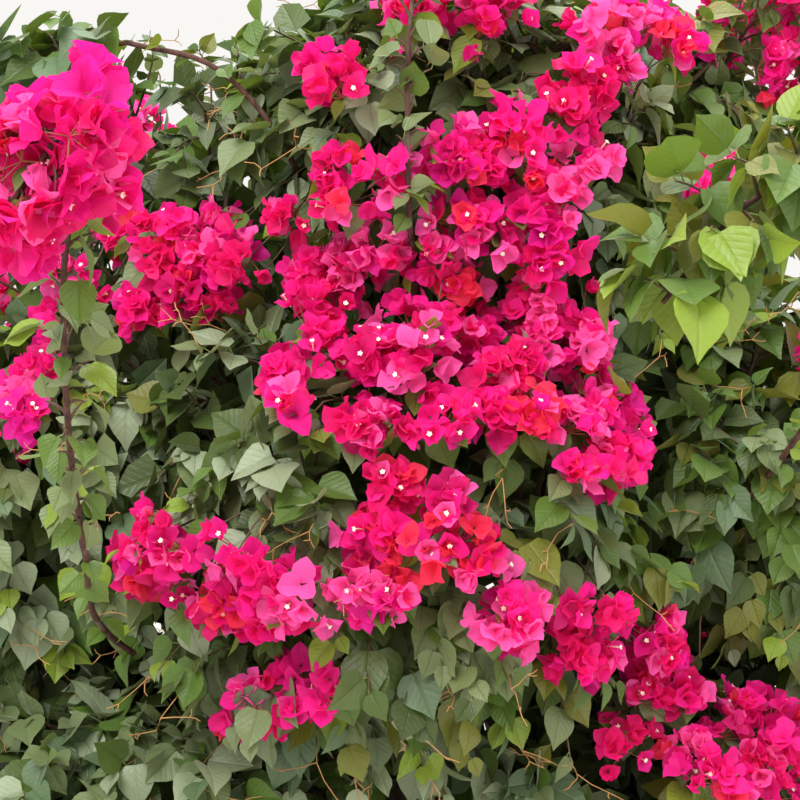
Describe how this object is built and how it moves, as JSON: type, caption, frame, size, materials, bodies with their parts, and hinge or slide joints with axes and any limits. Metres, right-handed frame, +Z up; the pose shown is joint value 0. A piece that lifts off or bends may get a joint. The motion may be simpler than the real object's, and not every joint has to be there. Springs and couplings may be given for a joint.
{
  "type": "flowering bougainvillea bush",
  "caption": "Shrub in bloom: short flared trunk, arching boughs and canes, dense masses of heart-shaped leaves with papery three-bract blossoms",
  "frame": {"origin": "the middle of the flat cut under the trunk, at ground level", "axes": "+Z is up; someone facing the side that the picture shows looks along +Y, with +X to the right"},
  "size_m": [1.5648, 2.0572, 1.5391],
  "materials": {
    "bark": "rough grey-brown bark",
    "foliage": "matte grey-green leaves",
    "blossom": "papery crimson-pink bracts"
  },
  "bodies": {
    "root": {"trunk": "bark", "bough_low_front_left": "bark", "bough_low_front_right": "bark", "bough_low_right": "bark", "bough_low_back": "bark", "bough_low_left": "bark", "bough_mid_front": "bark", "bough_mid_right": "bark", "bough_mid_back_right": "bark", "bough_mid_back_left": "bark", "bough_mid_left": "bark", "bough_top_front": "bark", "bough_top_right": "bark", "bough_top_back": "bark", "bough_top_left": "bark", "cane_front_left": "bark", "cane_front_right": "bark", "cane_upright": "bark", "cane_left_arch": "bark", "cane_right_high": "bark", "cane_back_left": "bark", "cane_back_right": "bark", "cane_right_arch": "bark", "cane_back_top": "bark", "mass_low_front_left": "foliage", "mass_low_front_right": "foliage", "mass_low_right": "foliage", "mass_low_back": "foliage", "mass_low_left": "foliage", "mass_mid_front": "blossom", "mass_mid_right": "foliage", "mass_mid_back_right": "foliage", "mass_mid_back_left": "foliage", "mass_mid_left": "foliage", "mass_top_front": "blossom", "mass_top_right": "foliage", "mass_top_back": "foliage", "mass_top_left": "foliage", "spray_front_left": "blossom", "spray_front_right": "foliage", "spray_upright": "blossom", "spray_left_arch": "foliage", "spray_right_high": "blossom", "spray_back_left": "blossom", "spray_back_right": "blossom", "spray_right_arch": "blossom", "spray_back_top": "blossom"}
  },
  "joints": []
}
